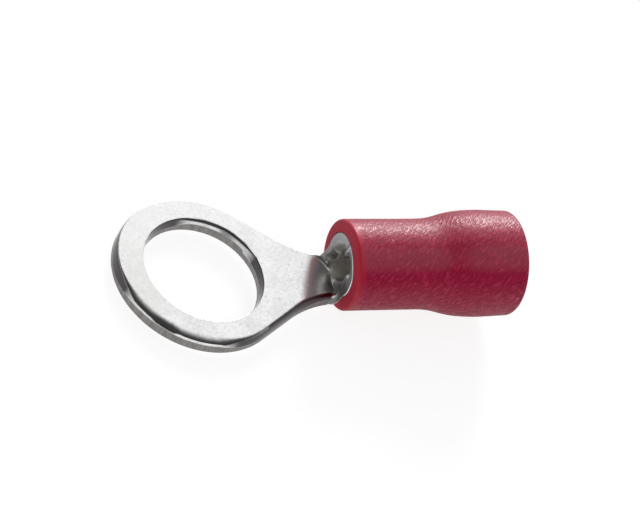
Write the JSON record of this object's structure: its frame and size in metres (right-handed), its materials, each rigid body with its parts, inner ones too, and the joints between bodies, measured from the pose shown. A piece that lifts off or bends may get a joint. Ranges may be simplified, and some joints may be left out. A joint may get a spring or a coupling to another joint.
{
  "type": "ring terminal",
  "caption": "Insulated crimp ring terminal: flat metal ring on a tapering neck, rolled wire barrel, and a red plastic sleeve that widens to take the wire's insulation.",
  "frame": {"origin": "centre of the stud hole on the underside of the tongue", "axes": "+Z along the stud, up out of the tongue; +X along the neck towards the end where the wire goes in"},
  "size_m": [0.0224, 0.0094, 0.006],
  "materials": {
    "tinned_metal": "bright tin plate over copper, finely grained",
    "red_plastic": "satin soft plastic"
  },
  "bodies": {
    "root": {"terminal": "tinned_metal", "sleeve": "red_plastic"}
  },
  "joints": []
}
